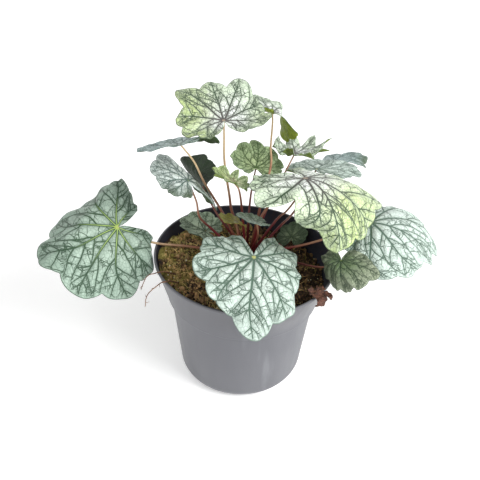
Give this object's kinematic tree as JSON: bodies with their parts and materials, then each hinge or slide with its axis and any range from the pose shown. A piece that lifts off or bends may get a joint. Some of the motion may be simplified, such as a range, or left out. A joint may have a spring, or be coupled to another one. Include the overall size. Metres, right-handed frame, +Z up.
{
  "type": "potted heuchera plant",
  "caption": "Leafy heuchera plant with lobed silver-green leaves, dark veins and thin red-brown stalks, growing from a woody crown in the peaty soil of a round grey plastic nursery pot",
  "frame": {"origin": "centre of the pot's underside, on the surface it stands on", "axes": "+Z up, -Y the plant's front, +X its right as seen from the front"},
  "size_m": [0.2881, 0.1997, 0.2246],
  "materials": {
    "pot_plastic": "satin grey injection-moulded plastic, darker inside",
    "soil": "damp brown peat with moss and fine fibres",
    "crown": "rough brown woody stock",
    "blade": "soft matte silver-green leaf with dark green veins",
    "stalk": "thin leaf stalk, red at the foot and tan towards the blade",
    "dry_scrap": "dry brown leaf and root scraps"
  },
  "bodies": {
    "root": {"centre_round_blade": "blade", "centre_round_stalk": "stalk", "crown": "crown", "crown_sheath": "dry_scrap", "curly_right_blade": "blade", "curly_right_stalk": "stalk", "dry_scrap": "dry_scrap", "front_large_blade": "blade", "front_large_stalk": "stalk", "left_dark_blade": "blade", "left_dark_stalk": "stalk", "left_folded_blade": "blade", "left_folded_stalk": "stalk", "left_large_blade": "blade", "left_large_stalk": "stalk", "low_dark_right_blade": "blade", "low_dark_right_stalk": "stalk", "low_left_blade": "blade", "low_left_stalk": "stalk", "lower_right_blade": "blade", "lower_right_stalk": "stalk", "pot": "pot_plastic", "right_back_a_blade": "blade", "right_back_a_stalk": "stalk", "right_back_b_blade": "blade", "right_back_b_stalk": "stalk", "right_large_blade": "blade", "right_large_stalk": "stalk", "right_top_large_blade": "blade", "right_top_large_stalk": "stalk", "root_fibre_1": "dry_scrap", "root_fibre_2": "dry_scrap", "small_silver_blade": "blade", "small_silver_stalk": "stalk", "small_yellow_blade": "blade", "small_yellow_stalk": "stalk", "soil": "soil", "top_large_blade": "blade", "top_large_stalk": "stalk", "upper_left_blade": "blade", "upper_left_stalk": "stalk", "upper_right_back_blade": "blade", "upper_right_back_stalk": "stalk", "young_cupped_blade": "blade", "young_cupped_stalk": "stalk"}
  },
  "joints": []
}
